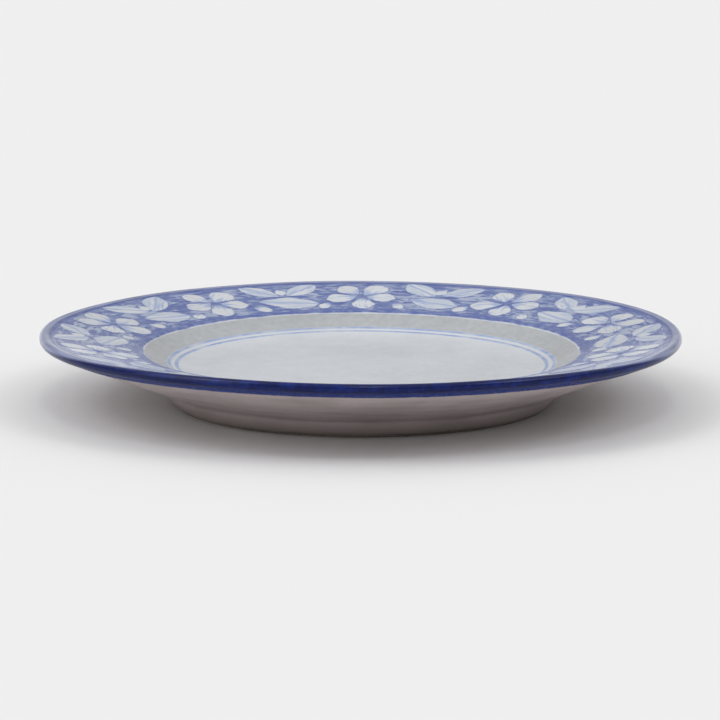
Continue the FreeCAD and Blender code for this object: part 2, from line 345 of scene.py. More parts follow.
def skin_line(sizes):
    """The finished surface from the middle of the well, over the lip, to the foot of the foot."""
    root = (sizes.foot_top_radius, sizes.foot_top_height, COVE_ROUNDING)
    waist = (sizes.foot_waist_radius, sizes.foot_waist_height, FOOT_WAIST_ROUNDING)
    rest = (sizes.foot_rest_radius, 0.0, 0.0)
    return rounded_line(face_corners(sizes, 0.0) + back_corners(sizes, 0.0)[:1] + [root, waist, rest])


def face_and_back(sizes):
    """The finished surface as two lines that meet at the plate's widest point."""
    skin = skin_line(sizes)
    widest = max(range(len(skin)), key=lambda index: skin[index].x)
    return skin[: widest + 1], skin[widest:]


def face_between(sizes, inner, outer):
    """The stretch of the face between two radii."""
    face, _ = face_and_back(sizes)
    face = clipped_line(face, lambda point: point.x - inner)
    return divided_line(clipped_line(face, lambda point: outer - point.x))


def lip_line(sizes, border):
    """The stretch that the lip band wraps, from the face over the edge to the underside."""
    face, back = face_and_back(sizes)
    face = clipped_line(face, lambda point: point.x - border.outer_radius + BAND_BLEND)
    back = clipped_line(back, lambda point: point.x - sizes.lip_band_under + BAND_BLEND)
    return divided_line(face + back[1:], FINE_STEP)


def back_line(sizes):
    """The stretch that the back glaze covers, from under the lip band to the bare edge of the foot."""
    _, back = face_and_back(sizes)
    back = clipped_line(back, lambda point: sizes.lip_band_under + BAND_BLEND - point.x)
    return divided_line(clipped_line(back, lambda point: point.z - sizes.bare_foot))


def recess_line(sizes):
    """The stretch that the glaze inside the foot covers, from the axis to the bare edge."""
    ceiling = sizes.foot_top_height - sizes.glaze_thickness
    taper = (sizes.foot_inner_radius - sizes.foot_root_radius) / sizes.foot_top_height
    edge = sizes.foot_inner_radius - taper * sizes.bare_foot
    corners = [
        (0, ceiling, 0),
        (sizes.foot_root_radius, ceiling, RECESS_ROUNDING),
        (edge, sizes.bare_foot, 0),
    ]
    return divided_line(rounded_line(corners))


def clay_line(sizes):
    """The thrown disc under its coats, from the middle of the well round to the middle of the back."""
    depth = sizes.glaze_thickness
    corners = face_corners(sizes, depth) + back_corners(sizes, depth) + [(0, sizes.foot_top_height, 0)]
    return divided_line(rounded_line(corners))


def foot_line(sizes):
    """The foot ring's own section, closed."""
    depth = sizes.glaze_thickness
    top = sizes.foot_top_height
    corners = [
        (sizes.foot_rest_radius, top, 0),
        (sizes.foot_top_radius - depth, top, 0),
        (sizes.foot_waist_radius - depth, sizes.foot_waist_height, FOOT_WAIST_ROUNDING),
        (sizes.foot_rest_radius - depth, 0, FOOT_EDGE_ROUNDING),
        (sizes.foot_inner_radius + depth, 0, FOOT_EDGE_ROUNDING),
        (sizes.foot_root_radius + depth, top, 0),
        (sizes.foot_rest_radius, top, 0),
    ]
    return divided_line(rounded_line(corners))


# ---------------------------------------------------------------- modelling


TINY = 0.001 * MM
SHARP_ANGLE = math.radians(40.0)
LIP_MIDDLE_RADIUS = 103.0 * MM
LIP_MIDDLE_HEIGHT = 22.6 * MM
# The fired lip stands a little higher over the front stretch of its circle.
FRONT_WARP = 0.9 * MM
FRONT_SHARE = 0.5
HAND_THROWN = (
    # direction, size of the swell, how far it moves the clay
    ("X", 108.0 * MM, 1.7 * MM),
    ("Y", 127.0 * MM, 1.4 * MM),
    ("Z", 92.0 * MM, 0.75 * MM),
)


def deselect_everything():
    """Leave nothing selected, in object mode."""
    if bpy.context.object and bpy.context.object.mode != "OBJECT":
        bpy.ops.object.mode_set(mode="OBJECT")
    bpy.ops.object.select_all(action="DESELECT")


def select_only(piece):
    """Make one object the selected and active one."""
    deselect_everything()
    piece.select_set(True)
    bpy.context.view_layer.objects.active = piece


def drawn_line(name, points):
    """A new piece that is one line of edges through points, left in edit mode."""
    deselect_everything()
    bpy.ops.mesh.primitive_plane_add(size=MM, location=points[0])
    piece = bpy.context.object
    piece.name = name
    piece.data.name = name
    bpy.ops.object.transform_apply(location=True, rotation=True, scale=True)
    piece.data.uv_layers.remove(piece.data.uv_layers[0])
    bpy.ops.object.mode_set(mode="EDIT")
    bpy.ops.mesh.select_all(action="SELECT")
    bpy.ops.mesh.merge(type="CENTER")
    for start, end in zip(points, points[1:]):
        bpy.ops.mesh.extrude_vertices_move(TRANSFORM_OT_translate={"value": end - start})
    return piece


def turned(name, points, turns, closed=False):
    """A new piece turned about the plate's axis from a line in the section's plane."""
    piece = drawn_line(name, points)
    bpy.ops.mesh.select_all(action="SELECT")
    if closed:
        bpy.ops.mesh.remove_doubles(threshold=TINY)
        bpy.ops.mesh.select_all(action="SELECT")
    bpy.ops.mesh.spin(steps=turns, angle=2 * math.pi, center=(0, 0, 0), axis=(0, 0, 1))
    bpy.ops.mesh.select_all(action="SELECT")
    bpy.ops.mesh.remove_doubles(threshold=TINY)
    bpy.ops.mesh.select_all(action="SELECT")
    bpy.ops.mesh.normals_make_consistent(inside=False)
    bpy.ops.object.mode_set(mode="OBJECT")
    mark_along_section(piece, points)
    return piece


def mark_along_section(piece, points):
    """Note on each vertex how far along the section's line it lies, from 0 to 1."""
    nearest = KDTree(len(points))
    lengths = [0.0]
    for index, point in enumerate(points):
        nearest.insert(point, index)
        if index:
            lengths.append(lengths[-1] + (point - points[index - 1]).length)
    nearest.balance()
    along = piece.data.attributes.new("along_section", "FLOAT", "POINT")
    for vertex in piece.data.vertices:
        place = at(math.hypot(vertex.co.x, vertex.co.y), vertex.co.z)
        along.data[vertex.index].value = lengths[nearest.find(place)[1]] / lengths[-1]
    piece["section_length"] = lengths[-1]


def upwards(place):
    """Up, for a coat on the plate's face."""
    return Vector((0, 0, 1))


def down_and_out(place):
    """Down and away from the axis, for a coat on the plate's back."""
    return Vector((place.x, place.y, 0)).normalized() - Vector((0, 0, 1))


def down_and_in(place):
    """Down and towards the axis, for the coat inside the foot."""
    return -Vector((place.x, place.y, 0)).normalized() - Vector((0, 0, 1))


def away_from_lip(place):
    """Away from the middle of the clay just inside the lip, for the band that wraps round it."""
    inside = Vector((place.x, place.y, 0)).normalized() * LIP_MIDDLE_RADIUS
    inside.z = LIP_MIDDLE_HEIGHT
    return place - inside


def look_outwards(piece, outward):
    """Turn an open surface over if its faces look away from `outward`, a function of a place."""
    facing = sum(face.normal.dot(outward(face.center)) * face.area for face in piece.data.polygons)
    if facing < 0:
        select_only(piece)
        bpy.ops.object.mode_set(mode="EDIT")
        bpy.ops.mesh.select_all(action="SELECT")
        bpy.ops.mesh.flip_normals()
        bpy.ops.object.mode_set(mode="OBJECT")


def apply_modifier(piece, name, kind, **settings):
    """Add one modifier to a piece and apply it."""
    select_only(piece)
    modifier = piece.modifiers.new(name, kind)
    for setting, value in settings.items():
        setattr(modifier, setting, value)
    bpy.ops.object.modifier_apply(modifier=modifier.name)


def weigh(piece, group, weight):
    """Put every vertex in a group, with the weight that `weight(vertex)` gives it."""
    vertices = piece.vertex_groups.get(group) or piece.vertex_groups.new(name=group)
    for vertex in piece.data.vertices:
        vertices.add([vertex.index], min(1.0, max(0.0, weight(vertex))), "REPLACE")


def shift(piece, direction, distance, group=""):
    """Move a piece's vertices by a distance, each by its share in the group."""
    apply_modifier(
        piece, "shift", "DISPLACE", direction=direction, strength=distance, mid_level=0.0,
        vertex_group=group,
    )


def smooth_step(value):
    """Rise gently from 0 to 1."""
    value = min(1.0, max(0.0, value))
    return value * value * (3.0 - 2.0 * value)


def swell_texture(name, size):
    """A slow, soft unevenness."""
    if name in bpy.data.textures:
        return bpy.data.textures[name]
    texture = bpy.data.textures.new(name, "CLOUDS")
    texture.noise_scale = size
    texture.noise_depth = 1
    return texture


def swell(piece, direction, size, reach, group=""):
    """Move a piece by a soft unevenness that depends only on the place."""
    apply_modifier(
        piece, "swell", "DISPLACE", direction=direction, strength=reach, mid_level=0.5,
        texture=swell_texture(f"swell_{direction}_{size / MM:.0f}", size), texture_coords="LOCAL",
        vertex_group=group,
    )


def make_uneven(piece, sizes):
    """Move a turned piece a little out of true.  Its foot stays flat on the table."""
    weigh(piece, "rising", lambda vertex: vertex.co.z / sizes.lip_edge_bottom)
    for direction, size, reach in HAND_THROWN:
        swell(piece, direction, size, reach, "rising" if direction == "Z" else "")

    def lifted_share(vertex):
        front = smooth_step(-vertex.co.y / sizes.lip_radius / FRONT_SHARE + 1.0 - 1.0 / FRONT_SHARE)
        return front * vertex.co.z / sizes.lip_edge_bottom

    weigh(piece, "warped", lifted_share)
    shift(piece, "Z", FRONT_WARP, "warped")
    piece.vertex_groups.clear()


def marks_of(piece, name):
    """The numbers that a piece's vertices carry, as a list."""
    return [mark.value for mark in piece.data.attributes[name].data]


def raise_coat(piece, sunk, height, feather):
    """Sink a coat's two edges and raise the rest of it, with a soft slope between."""
    along = marks_of(piece, "along_section")
    length = piece["section_length"]

    def share(vertex):
        place = along[vertex.index]
        return smooth_step(min(place, 1.0 - place) * length / feather)

    weigh(piece, "raised", share)
    shift(piece, "NORMAL", -sunk)
    shift(piece, "NORMAL", sunk + height, "raised")
    piece.vertex_groups.remove(piece.vertex_groups["raised"])


def thicken(piece, thickness, even=True):
    """Give a skin its thickness, inwards from its surface."""
    apply_modifier(piece, "thickness", "SOLIDIFY", thickness=thickness, offset=-1.0, use_even_offset=even)


def shade_smooth(piece, angle=SHARP_ANGLE):
    """Smooth shading, with the cut edges left crisp."""
    select_only(piece)
    bpy.ops.object.shade_smooth_by_angle(angle=angle)


def finish_piece(piece, material, node):
    """Give a piece its material, ride it on the plate and let it stand for its node."""
    piece.data.materials.clear()
    piece.data.materials.append(material)
    shade_smooth(piece)
    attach(piece, "root")
    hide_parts(node)


# ---------------------------------------------------------------- finishes


# How far apart the strokes of two dabs are picked from one noise.
TONE_SPREAD = 57.0
# How many steps a finish's noise takes to a metre.
GLAZE_CLOUDS = 38.0
BACK_CLOUDS = 45.0
BACK_SHEEN = 70.0
GLAZE_SHEEN = 90.0
GROUND_PATCHES = 120.0
GLAZE_WAVES = 150.0
LINE_RAGGED = 160.0
FINE_LINE_RAGGED = 260.0
OUTLINE_LOAD = 260.0
CAVETTO_GREY_AND_SHADE_MOTTLE = 420.0
BAND_MOTTLE = 420.0
CENTRE_PATCHES = 500.0
WHITE_MOTTLE = 620.0
OUTLINE_WOBBLE = 620.0
BACK_SPECKS = 800.0
WHITE_SPECKS = 900.0
GLAZE_PITS = 1200.0
BAND_GRIT = 1500.0
CLAY_GRIT = 1600.0
# How deep each relief is.
WAVE_DEPTH = 0.03 * MM
PIT_DEPTH = 0.003 * MM
FACE_TURNING_DEPTH = 0.02 * MM
BACK_TURNING_DEPTH = 0.03 * MM
CLAY_GRIT_DEPTH = 0.08 * MM
CLAY_TURNING_DEPTH = 0.05 * MM
BAND_GRIT_DEPTH = 0.02 * MM
# How wide the soft changes are.
# The next width is where the cavetto's grey glaze and painted shade fade in.
CAVETTO_GREY_AND_SHADE_BLEND = 2 * MM
# The next width is where the painted shade low on the foot fades out.
PAINTED_FOOT_SHADE_BLEND = 3 * MM
GROUND_EDGE = 3 * MM
GROUND_WANDER = 7 * MM
WOBBLE_REACH = 1.1 * MM
# Places across a ring of paint, from its inner edge at 0 to its outer one at 1.
LINE_INNER_EDGE = (0.32, 0.06)
LINE_OUTER_EDGE = (0.7, 0.95)
# Distance from the middle of a fine line, as a share of its width.
FINE_LINE_EDGE = (0.47, 0.2)
# Places on the lip band, from its face end at 0 to its back end at 1.
BAND_FACE_END = (0.17, 0.05)
BAND_THINS = (0.08, 0.16)
OVER_THE_EDGE = (0.19, 0.27)
BAND_TURNS_MATT = (0.42, 0.6)
BAND_LIGHTENS = (0.46, 0.66)
BAND_WORN = (0.5, 0.72)
BAND_BACK_END = (0.87, 0.95)
# Painted reflection: the pale thin paint reaches further over the edge from the front of the plate towards
# its back, standing in for the pale surroundings that the lip mirrors there.
PAINTED_REFLECTION_FROM = -92.0 * MM
PAINTED_REFLECTION_WHOLLY = -30.0 * MM
PAINTED_REFLECTION_REACH = 0.16


class Finish:
    """A material, and the nodes that vary it over a piece."""

    def __init__(self, name, specular=0.5):
        self.material = bpy.data.materials.new(name)
        self.material.use_nodes = True
        self.tree = self.material.node_tree
        self.shader = self.tree.nodes["Principled BSDF"]
        self.shader.inputs["Specular IOR Level"].default_value = specular
        self.place = self.node("ShaderNodeTexCoord").outputs["Object"]

    def feed(self, socket, value):
        """Join a socket to another, or set its value."""
        if isinstance(value, bpy.types.NodeSocket):
            self.tree.links.new(value, socket)
        else:
            socket.default_value = value

    def node(self, kind, inputs=None, **settings):
        """Add a node with its settings and what feeds it."""
        node = self.tree.nodes.new(kind)
        for setting, value in settings.items():
            setattr(node, setting, value)
        for name, value in (inputs or {}).items():
            self.feed(node.inputs[name], value)
        return node

    def math(self, operation, first, second=0.0, third=0.0):
        """One sum on two or three numbers."""
        inputs = {0: first, 1: second, 2: third}
        return self.node("ShaderNodeMath", inputs, operation=operation).outputs[0]

    def attribute(self, name):
        """A number that the piece's own vertices carry."""
        return self.node("ShaderNodeAttribute", attribute_name=name).outputs["Fac"]

    def noise(self, place, scale, detail=3.0, roughness=0.55, distortion=0.0):
        """Soft noise about 0.5."""
        inputs = {
            "Vector": place, "Scale": scale, "Detail": detail, "Roughness": roughness,
            "Distortion": distortion,
        }
        return self.node("ShaderNodeTexNoise", inputs).outputs["Fac"]

    def between(self, value, low, high):
        """Rise gently from 0 to 1 as the value goes from low to high."""
        inputs = {"Value": value, "From Min": low, "From Max": high}
        return self.node("ShaderNodeMapRange", inputs, interpolation_type="SMOOTHSTEP").outputs["Result"]

    def spread(self, value, low, high):
        """Spread the middle of a noise over the span from low to high."""
        inputs = {"Value": value, "From Min": 0.3, "From Max": 0.7, "To Min": low, "To Max": high}
        return self.node("ShaderNodeMapRange", inputs).outputs["Result"]

    def blend(self, share, first, second):
        """Go from one colour to another."""
        mix = self.node("ShaderNodeMix", data_type="RGBA")
        self.feed(mix.inputs[0], share)
        self.feed(mix.inputs[6], first)
        self.feed(mix.inputs[7], second)
        return mix.outputs[2]

    def radius(self):
        """Distance from the plate's axis."""
        flat = self.node("ShaderNodeVectorMath", {0: self.place, 1: (1, 1, 0)}, operation="MULTIPLY")
        return self.node("ShaderNodeVectorMath", {0: flat.outputs[0]}, operation="LENGTH").outputs["Value"]

    def height(self):
        """Height over the table."""
        return self.node("ShaderNodeSeparateXYZ", {0: self.place}).outputs["Z"]

    def across_table(self):
        """Place from the front of the plate, below zero, to its back."""
        return self.node("ShaderNodeSeparateXYZ", {0: self.place}).outputs["Y"]

    def around(self, turning, outward, run=None):
        """A place that runs round the plate without a seam.

        `turning` is how many steps of noise there are to a radian, `outward` how many to a metre
        from the axis, or to one of `run`.
        """
        flat = self.node("ShaderNodeVectorMath", {0: self.place, 1: (1, 1, 0)}, operation="MULTIPLY")
        heading = self.node("ShaderNodeVectorMath", {0: flat.outputs[0]}, operation="NORMALIZE")
        turned_out = self.node(
            "ShaderNodeVectorMath", {0: heading.outputs[0], "Scale": turning}, operation="SCALE"
        )
        reach = self.math("MULTIPLY", run or self.radius(), outward)
        reach = self.node("ShaderNodeCombineXYZ", {2: reach})
        return self.node(
            "ShaderNodeVectorMath", {0: turned_out.outputs[0], 1: reach.outputs[0]}, operation="ADD"
        ).outputs[0]

    def along_dab(self, lengthwise, crosswise):
        """A place that follows one dab of paint, so its strokes run the way that the brush went."""
        inputs = {
            0: self.math("MULTIPLY", self.attribute("along"), lengthwise),
            1: self.math("MULTIPLY", self.attribute("across"), crosswise),
            2: self.math("MULTIPLY", self.attribute("tone"), TONE_SPREAD),
        }
        return self.node("ShaderNodeCombineXYZ", inputs).outputs[0]

    def relief(self, height, depth):
        """Add a fine relief to the surface, `depth` metres from its lowest to its highest."""
        bump = self.node("ShaderNodeBump", {"Height": height, "Distance": depth})
        normal = self.shader.inputs["Normal"]
        if normal.is_linked:
            self.feed(bump.inputs["Normal"], normal.links[0].from_socket)
        self.feed(normal, bump.outputs["Normal"])

    def done(self, colour, roughness):
        """Give the shader its colour and roughness, and hand over the material."""
        self.feed(self.shader.inputs["Base Color"], colour)
        self.feed(self.shader.inputs["Roughness"], roughness)
        return self.material


def paint(colour):
    """A colour property as plain numbers."""
    return tuple(colour)


def glassy_surface(finish):
    """The slow waves and fine pits of fired glaze, and how glossy it is from place to place."""
    finish.relief(finish.noise(finish.place, GLAZE_WAVES, detail=2.0), WAVE_DEPTH)
    finish.relief(finish.noise(finish.place, GLAZE_PITS, detail=2.0), PIT_DEPTH)
    return finish.spread(finish.noise(finish.place, GLAZE_SHEEN, detail=4.0), 0.13, 0.26)


def white_glaze_colour(finish, colours):
    """Off-white glaze with soft clouds, a fine mottle and a few pale grey specks."""
    clouds = finish.between(finish.noise(finish.place, GLAZE_CLOUDS, detail=4.0), 0.42, 0.68)
    mottle = finish.between(finish.noise(finish.place, WHITE_MOTTLE, detail=3.0), 0.45, 0.75)
    share = finish.math("MULTIPLY_ADD", mottle, 0.35, finish.math("MULTIPLY", clouds, 0.4))
    colour = finish.blend(share, paint(colours.white), paint(colours.white_shade))
    specks = finish.between(finish.noise(finish.place, WHITE_SPECKS, detail=1.0), 0.74, 0.78)
    return finish.blend(finish.math("MULTIPLY", specks, 0.5), colour, paint(colours.back))


def white_glaze(colours, sizes):
    """The glaze over the plate's face, a little greyer over the cavetto, partly from glaze run together
    there and partly painted shade.
    """
    finish = Finish("white_glaze")
    colour = white_glaze_colour(finish, colours)
    # Painted shade, with glaze run together: greyer and mottled from the floor's edge outwards over the
    # cavetto.
    cavetto = finish.between(finish.radius(), sizes.floor_radius, sizes.floor_radius + CAVETTO_GREY_AND_SHADE_BLEND)
    mottle = finish.spread(finish.noise(finish.place, CAVETTO_GREY_AND_SHADE_MOTTLE, detail=4.0), 0.6, 0.85)
    colour = finish.blend(finish.math("MULTIPLY", cavetto, mottle), colour, paint(colours.grey))
    finish.relief(finish.noise(finish.around(2.0, 260.0), 1.0, detail=1.0), FACE_TURNING_DEPTH)
    return finish.done(colour, glassy_surface(finish))


def back_glaze_colour(finish, colours):
    """Thin warm grey glaze, streaked round the plate by the turning, with small dark specks."""
    turning = finish.noise(finish.around(3.0, 330.0), 1.0, detail=3.0)
    clouds = finish.noise(finish.place, BACK_CLOUDS, detail=4.0)
    share = finish.between(finish.math("ADD", turning, clouds), 0.85, 1.3)
    share = finish.math("MULTIPLY", share, 0.4)
    colour = finish.blend(share, paint(colours.back), paint(colours.back_shade))
    specks = finish.between(finish.noise(finish.place, BACK_SPECKS, detail=1.0), 0.7, 0.76)
    return finish.blend(finish.math("MULTIPLY", specks, 0.45), colour, paint(colours.back_shade))


def back_glaze(colours, sizes):
    """The glaze under the plate, with painted shade that makes it darker and warmer low on the foot."""
    finish = Finish("back_glaze", specular=0.35)
    # Painted shade: the colour darkens towards the bottom of the foot, where the plate's shadow falls.
    low = finish.between(finish.height(), sizes.foot_top_height + PAINTED_FOOT_SHADE_BLEND, sizes.bare_foot)
    colour = finish.blend(
        finish.math("MULTIPLY", low, 0.9), back_glaze_colour(finish, colours), paint(colours.back_shade)
    )
    finish.relief(finish.noise(finish.around(1.5, 420.0), 1.0, detail=2.0), BACK_TURNING_DEPTH)
    glassy_surface(finish)
    sheen = finish.noise(finish.place, BACK_SHEEN, detail=4.0)
    return finish.done(colour, finish.spread(sheen, 0.3, 0.48))


def bare_clay(name, colours, darkening):
    """Fired clay, gritty, with the marks of turning and a little kiln dirt."""
    finish = Finish(name, specular=0.2)
    grit = finish.noise(finish.place, CLAY_GRIT, detail=4.0, roughness=0.7)
    rings = finish.noise(finish.around(2.0, 900.0), 1.0, detail=2.0)
    dark = tuple(channel * darkening for channel in colours.clay[:3]) + (1.0,)
    share = finish.between(finish.math("ADD", grit, rings), 0.75, 1.25)
    colour = finish.blend(share, paint(colours.clay), dark)
    finish.relief(grit, CLAY_GRIT_DEPTH)
    finish.relief(rings, CLAY_TURNING_DEPTH)
    return finish.done(colour, finish.spread(grit, 0.7, 0.95))


def ground_colour(finish, colours, sizes, border):
    """The border's cobalt ground: short strokes laid round the rim, thick and thin by turns."""
    strokes = finish.noise(finish.around(16.0, 560.0), 1.0, detail=3.0, distortion=0.6)
    patches = finish.noise(finish.place, GROUND_PATCHES, detail=3.0)
    colour = finish.blend(
        finish.between(strokes, 0.32, 0.66), paint(colours.ground_dark), paint(colours.ground)
    )
    thin = finish.between(finish.math("ADD", strokes, patches), 0.92, 1.22)
    colour = finish.blend(finish.math("MULTIPLY", thin, 0.85), colour, paint(colours.ground_light))
    wander = finish.math("MULTIPLY", finish.math("SUBTRACT", patches, 0.5), GROUND_WANDER)
    radius = finish.math("ADD", finish.radius(), wander)
    inner = finish.between(radius, border.line_outer_radius + GROUND_EDGE, border.line_outer_radius)
    outer = finish.between(radius, border.outer_radius - GROUND_EDGE, border.outer_radius)
    edges = finish.math("MULTIPLY", finish.math("MAXIMUM", inner, outer), 0.75)
    return finish.blend(edges, colour, paint(colours.ground_dark))


def border_wash(colours, sizes, border):
    """The brushed cobalt ground under clear glaze."""
    finish = Finish("cobalt_wash")
    return finish.done(ground_colour(finish, colours, sizes, border), glassy_surface(finish))


def closing_line(colours, sizes, border):
    """The dark line that closes the border, its edges feathered into what lies beside it."""
    finish = Finish("cobalt_line")
    across = finish.attribute("along_section")
    ragged = finish.math("SUBTRACT", finish.noise(finish.place, LINE_RAGGED), 0.5)
    ragged = finish.math("MULTIPLY", ragged, 0.4)
    across = finish.math("ADD", across, ragged)
    colour = finish.blend(
        finish.between(finish.noise(finish.around(24.0, 300.0), 1.0), 0.4, 0.7),
        paint(colours.ground_dark), paint(colours.ground),
    )
    inner = finish.between(across, *LINE_INNER_EDGE)
    outer = finish.between(across, *LINE_OUTER_EDGE)
    colour = finish.blend(outer, colour, ground_colour(finish, colours, sizes, border))
    colour = finish.blend(inner, colour, white_glaze_colour(finish, colours))
    return finish.done(colour, glassy_surface(finish))


def fine_line(colours, sizes):
    """A thin pale line drawn on the turning plate, loaded and starved by turns."""
    finish = Finish("pale_line")
    across = finish.attribute("along_section")
    middle = finish.math("ABSOLUTE", finish.math("SUBTRACT", across, 0.5))
    ragged = finish.math("SUBTRACT", finish.noise(finish.place, FINE_LINE_RAGGED), 0.5)
    ragged = finish.math("MULTIPLY", ragged, 0.3)
    middle = finish.math("ADD", middle, ragged)
    load = finish.between(finish.noise(finish.around(7.0, 60.0), 1.0, detail=3.0), 0.3, 0.62)
    line = finish.blend(load, paint(colours.leaf), paint(colours.line))
    painted = finish.between(middle, *FINE_LINE_EDGE)
    colour = finish.blend(painted, white_glaze_colour(finish, colours), line)
    return finish.done(colour, glassy_surface(finish))


def lip_cobalt(colours, sizes, border):
    """The dark band round the lip, thin over the edge and speckled where it stops underneath, with a
    painted reflection that widens the pale edge towards the plate's back.
    """
    finish = Finish("cobalt_band", specular=0.2)
    along = finish.attribute("along_section")
    mottle = finish.noise(finish.place, BAND_MOTTLE, detail=4.0, roughness=0.65)
    flow = finish.noise(finish.around(9.0, 9.0, along), 1.0, detail=4.0)
    colour = finish.blend(
        finish.between(finish.math("ADD", mottle, flow), 0.85, 1.4), paint(colours.band),
        paint(colours.band_light),
    )
    grit = finish.noise(finish.place, BAND_GRIT, detail=3.0, roughness=0.7)
    worn = finish.math(
        "MULTIPLY", finish.between(along, *BAND_WORN), finish.between(grit, 0.5, 0.62)
    )
    colour = finish.blend(finish.between(along, *BAND_LIGHTENS), colour, paint(colours.band_light))
    colour = finish.blend(finish.math("MULTIPLY", worn, 0.6), colour, paint(colours.ground))
    # Painted reflection: towards the back of the plate the pale thin band reaches further down over the
    # edge.
    thinner = finish.between(finish.across_table(), PAINTED_REFLECTION_FROM, PAINTED_REFLECTION_WHOLLY)
    edge = finish.math("MULTIPLY_ADD", thinner, -PAINTED_REFLECTION_REACH, along)
    thin = finish.math(
        "SUBTRACT", finish.between(along, *BAND_THINS), finish.between(edge, *OVER_THE_EDGE)
    )
    thin = finish.math("MULTIPLY", thin, finish.spread(flow, 0.45, 0.75))
    colour = finish.blend(thin, colour, paint(colours.band_thin))
    wander = finish.math("MULTIPLY", finish.math("SUBTRACT", mottle, 0.5), 0.16)
    reached = finish.math("ADD", along, wander)
    face_end = finish.between(reached, *BAND_FACE_END)
    back_end = finish.between(reached, *BAND_BACK_END)
    colour = finish.blend(face_end, colour, ground_colour(finish, colours, sizes, border))
    colour = finish.blend(back_end, colour, back_glaze_colour(finish, colours))
    finish.relief(grit, BAND_GRIT_DEPTH)
    glassy_surface(finish)
    gloss = finish.spread(mottle, 0.09, 0.18)
    matt = finish.math("MULTIPLY", finish.between(along, *BAND_TURNS_MATT), 0.45)
    return finish.done(colour, finish.math("ADD", gloss, matt))


def dab_finish(name, colours, sizes, border, paint_colour):
    """Paint in one dab, a dark drawn edge round it, and the border's ground beyond that."""
    finish = Finish(name)
    wobble = finish.math("SUBTRACT", finish.noise(finish.place, OUTLINE_WOBBLE, detail=2.0), 0.5)
    distance = finish.math("MULTIPLY_ADD", wobble, WOBBLE_REACH, finish.attribute("from_edge"))
    width = border.outline_width
    drawn = finish.between(distance, 0.1 * width, 0.55 * width)
    painted = finish.between(distance, 0.35 * width, 1.25 * width)
    edge = finish.noise(finish.place, OUTLINE_LOAD, detail=2.0)
    outline = finish.blend(
        finish.between(edge, 0.3, 0.55), paint(colours.ground_dark), paint(colours.ground)
    )
    colour = finish.blend(drawn, ground_colour(finish, colours, sizes, border), outline)
    colour = finish.blend(painted, colour, paint_colour(finish, colours))
    return finish.done(colour, glassy_surface(finish))


def petal_colour(finish, colours):
    """White petals, with thin pale blue strokes that run out from the blossom's middle."""
    strokes = finish.noise(finish.along_dab(1.6, 4.2), 1.0, detail=3.0)
    base = finish.between(finish.attribute("along"), 0.55, 0.1)
    share = finish.between(finish.math("MULTIPLY_ADD", base, 0.24, strokes), 0.5, 0.74)
    return finish.blend(
        finish.math("MULTIPLY", share, 0.72), white_glaze_colour(finish, colours), paint(colours.leaf_dark)
    )


def leaf_colour(finish, colours):
    """Pale blue leaves, with darker strokes along them and a paler patch where the brush ran dry."""
    strokes = finish.noise(finish.along_dab(2.2, 3.4), 1.0, detail=3.0)
    rib = finish.math("ABSOLUTE", finish.attribute("across"))
    rib = finish.math("MULTIPLY", finish.between(rib, 0.2, 0.06), 0.75)
    dry = finish.between(finish.noise(finish.along_dab(1.1, 1.3), 1.0), 0.42, 0.66)
    pale = finish.blend(dry, paint(colours.leaf), white_glaze_colour(finish, colours))
    share = finish.math("MAXIMUM", finish.between(strokes, 0.52, 0.7), rib)
    return finish.blend(finish.math("MULTIPLY", share, 0.85), pale, paint(colours.leaf_dark))


def centre_colour(finish, colours):
    """The dot in a blossom's middle."""
    patch = finish.between(finish.noise(finish.place, CENTRE_PATCHES), 0.4, 0.65)
    return finish.blend(patch, paint(colours.ground_dark), paint(colours.ground))


# ---------------------------------------------------------------- dabs of paint


SIDE_STEPS = 18
LAYING_HEIGHT = 40.0 * MM
WIDEST_SHARE = 0.55
RING_SHARES = (0.94, 0.93, 0.91, 0.88, 0.84, 0.78, 0.66)
DAB_MARKS = ("from_edge", "along", "across", "tone", "layer")


def dab_outline(length, width, fullest, fullness, rim):
    """The outline of one dab drawn along +X from its base at the origin, with a rim all round it.

    `fullest` says where along it the dab is widest (1 is halfway, more is later), and a smaller
    `fullness` gives it rounder ends.
    """
    upper = []
    for step in range(SIDE_STEPS + 1):
        share = (1 - math.cos(math.pi * step / SIDE_STEPS)) / 2
        bulge = max(0.0, math.sin(math.pi * share ** fullest)) ** fullness
        upper.append(Vector((share * (length + 2 * rim) - rim, bulge * (width / 2 + rim), LAYING_HEIGHT)))
    lower = [Vector((point.x, -point.y, point.z)) for point in reversed(upper[1:-1])]
    return upper + lower


def dab(name, outline, length, width):
    """One dab: its outline, filled with rings that shrink towards its widest place."""
    piece = drawn_line(name, outline + outline[:1])
    bpy.ops.mesh.select_all(action="SELECT")
    bpy.ops.mesh.remove_doubles(threshold=TINY)
    bpy.ops.mesh.select_all(action="SELECT")
    bpy.ops.mesh.edge_face_add()
    middle = Vector((length * WIDEST_SHARE, 0, LAYING_HEIGHT))
    for share in RING_SHARES:
        bpy.ops.mesh.inset(thickness=0.0)
        bpy.ops.transform.resize(value=(share, share, 1.0), center_override=middle)
    bpy.ops.mesh.poke()
    bpy.ops.object.mode_set(mode="OBJECT")
    look_outwards(piece, upwards)
    mark_dab(piece, outline, length, width)
    return piece


def distance_to_line(place, start, end):
    """How far a place is from the stretch between two points."""
    run = end - start
    share = min(1.0, max(0.0, (place - start).dot(run) / run.length_squared))
    return (place - start - run * share).length


def mark_dab(piece, outline, length, width):
    """Note on each vertex where in the dab it lies."""
    for mark in DAB_MARKS:
        piece.data.attributes.new(mark, "FLOAT", "POINT")
    sides = list(zip(outline, outline[1:] + outline[:1]))
    marks = piece.data.attributes
    for vertex in piece.data.vertices:
        place = vertex.co
        marks["from_edge"].data[vertex.index].value = min(distance_to_line(place, *side) for side in sides)
        marks["along"].data[vertex.index].value = place.x / length
        marks["across"].data[vertex.index].value = 2 * place.y / width


